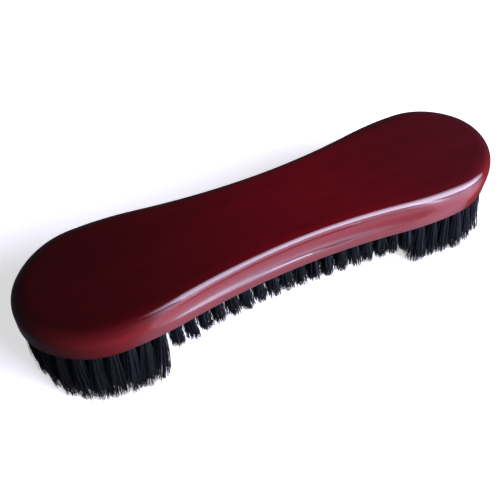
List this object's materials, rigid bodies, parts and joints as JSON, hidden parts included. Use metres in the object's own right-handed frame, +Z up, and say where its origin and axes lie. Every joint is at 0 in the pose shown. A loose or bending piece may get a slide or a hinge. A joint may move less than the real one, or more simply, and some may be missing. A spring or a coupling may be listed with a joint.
{
  "type": "clothes brush",
  "caption": "Hourglass wooden-backed brush with finger grooves and staple-set black bristle tufts, long under both ends and short under the waist.",
  "frame": {"origin": "under the middle of the brush, on the plane that the long bristle tips stand on", "axes": "+X along the brush, +Y across it, +Z up out of the back of the wood, bristles pointing down"},
  "size_m": [0.2744, 0.0768, 0.0494],
  "materials": {
    "lacquered_wood": "glossy dark red lacquer over stained hardwood",
    "black_bristle": "black filament, satin",
    "staple_steel": "flat drawn wire"
  },
  "bodies": {
    "root": {"wooden_back": "lacquered_wood", "staples_core_left_end": "staple_steel", "staples_core_middle": "staple_steel", "staples_core_right_end": "staple_steel", "staples_outer_back_middle": "staple_steel", "staples_outer_front_middle": "staple_steel", "staples_outer_left_end": "staple_steel", "staples_outer_right_end": "staple_steel", "staples_second_back_middle": "staple_steel", "staples_second_front_middle": "staple_steel", "staples_second_left_end": "staple_steel", "staples_second_right_end": "staple_steel", "staples_third_back_middle": "staple_steel", "staples_third_front_middle": "staple_steel", "staples_third_left_end": "staple_steel", "staples_third_right_end": "staple_steel", "tufts_core_left_end": "black_bristle", "tufts_core_middle": "black_bristle", "tufts_core_right_end": "black_bristle", "tufts_outer_back_middle": "black_bristle", "tufts_outer_front_middle": "black_bristle", "tufts_outer_left_end": "black_bristle", "tufts_outer_right_end": "black_bristle", "tufts_second_back_middle": "black_bristle", "tufts_second_front_middle": "black_bristle", "tufts_second_left_end": "black_bristle", "tufts_second_right_end": "black_bristle", "tufts_third_back_middle": "black_bristle", "tufts_third_front_middle": "black_bristle", "tufts_third_left_end": "black_bristle", "tufts_third_right_end": "black_bristle"}
  },
  "joints": []
}
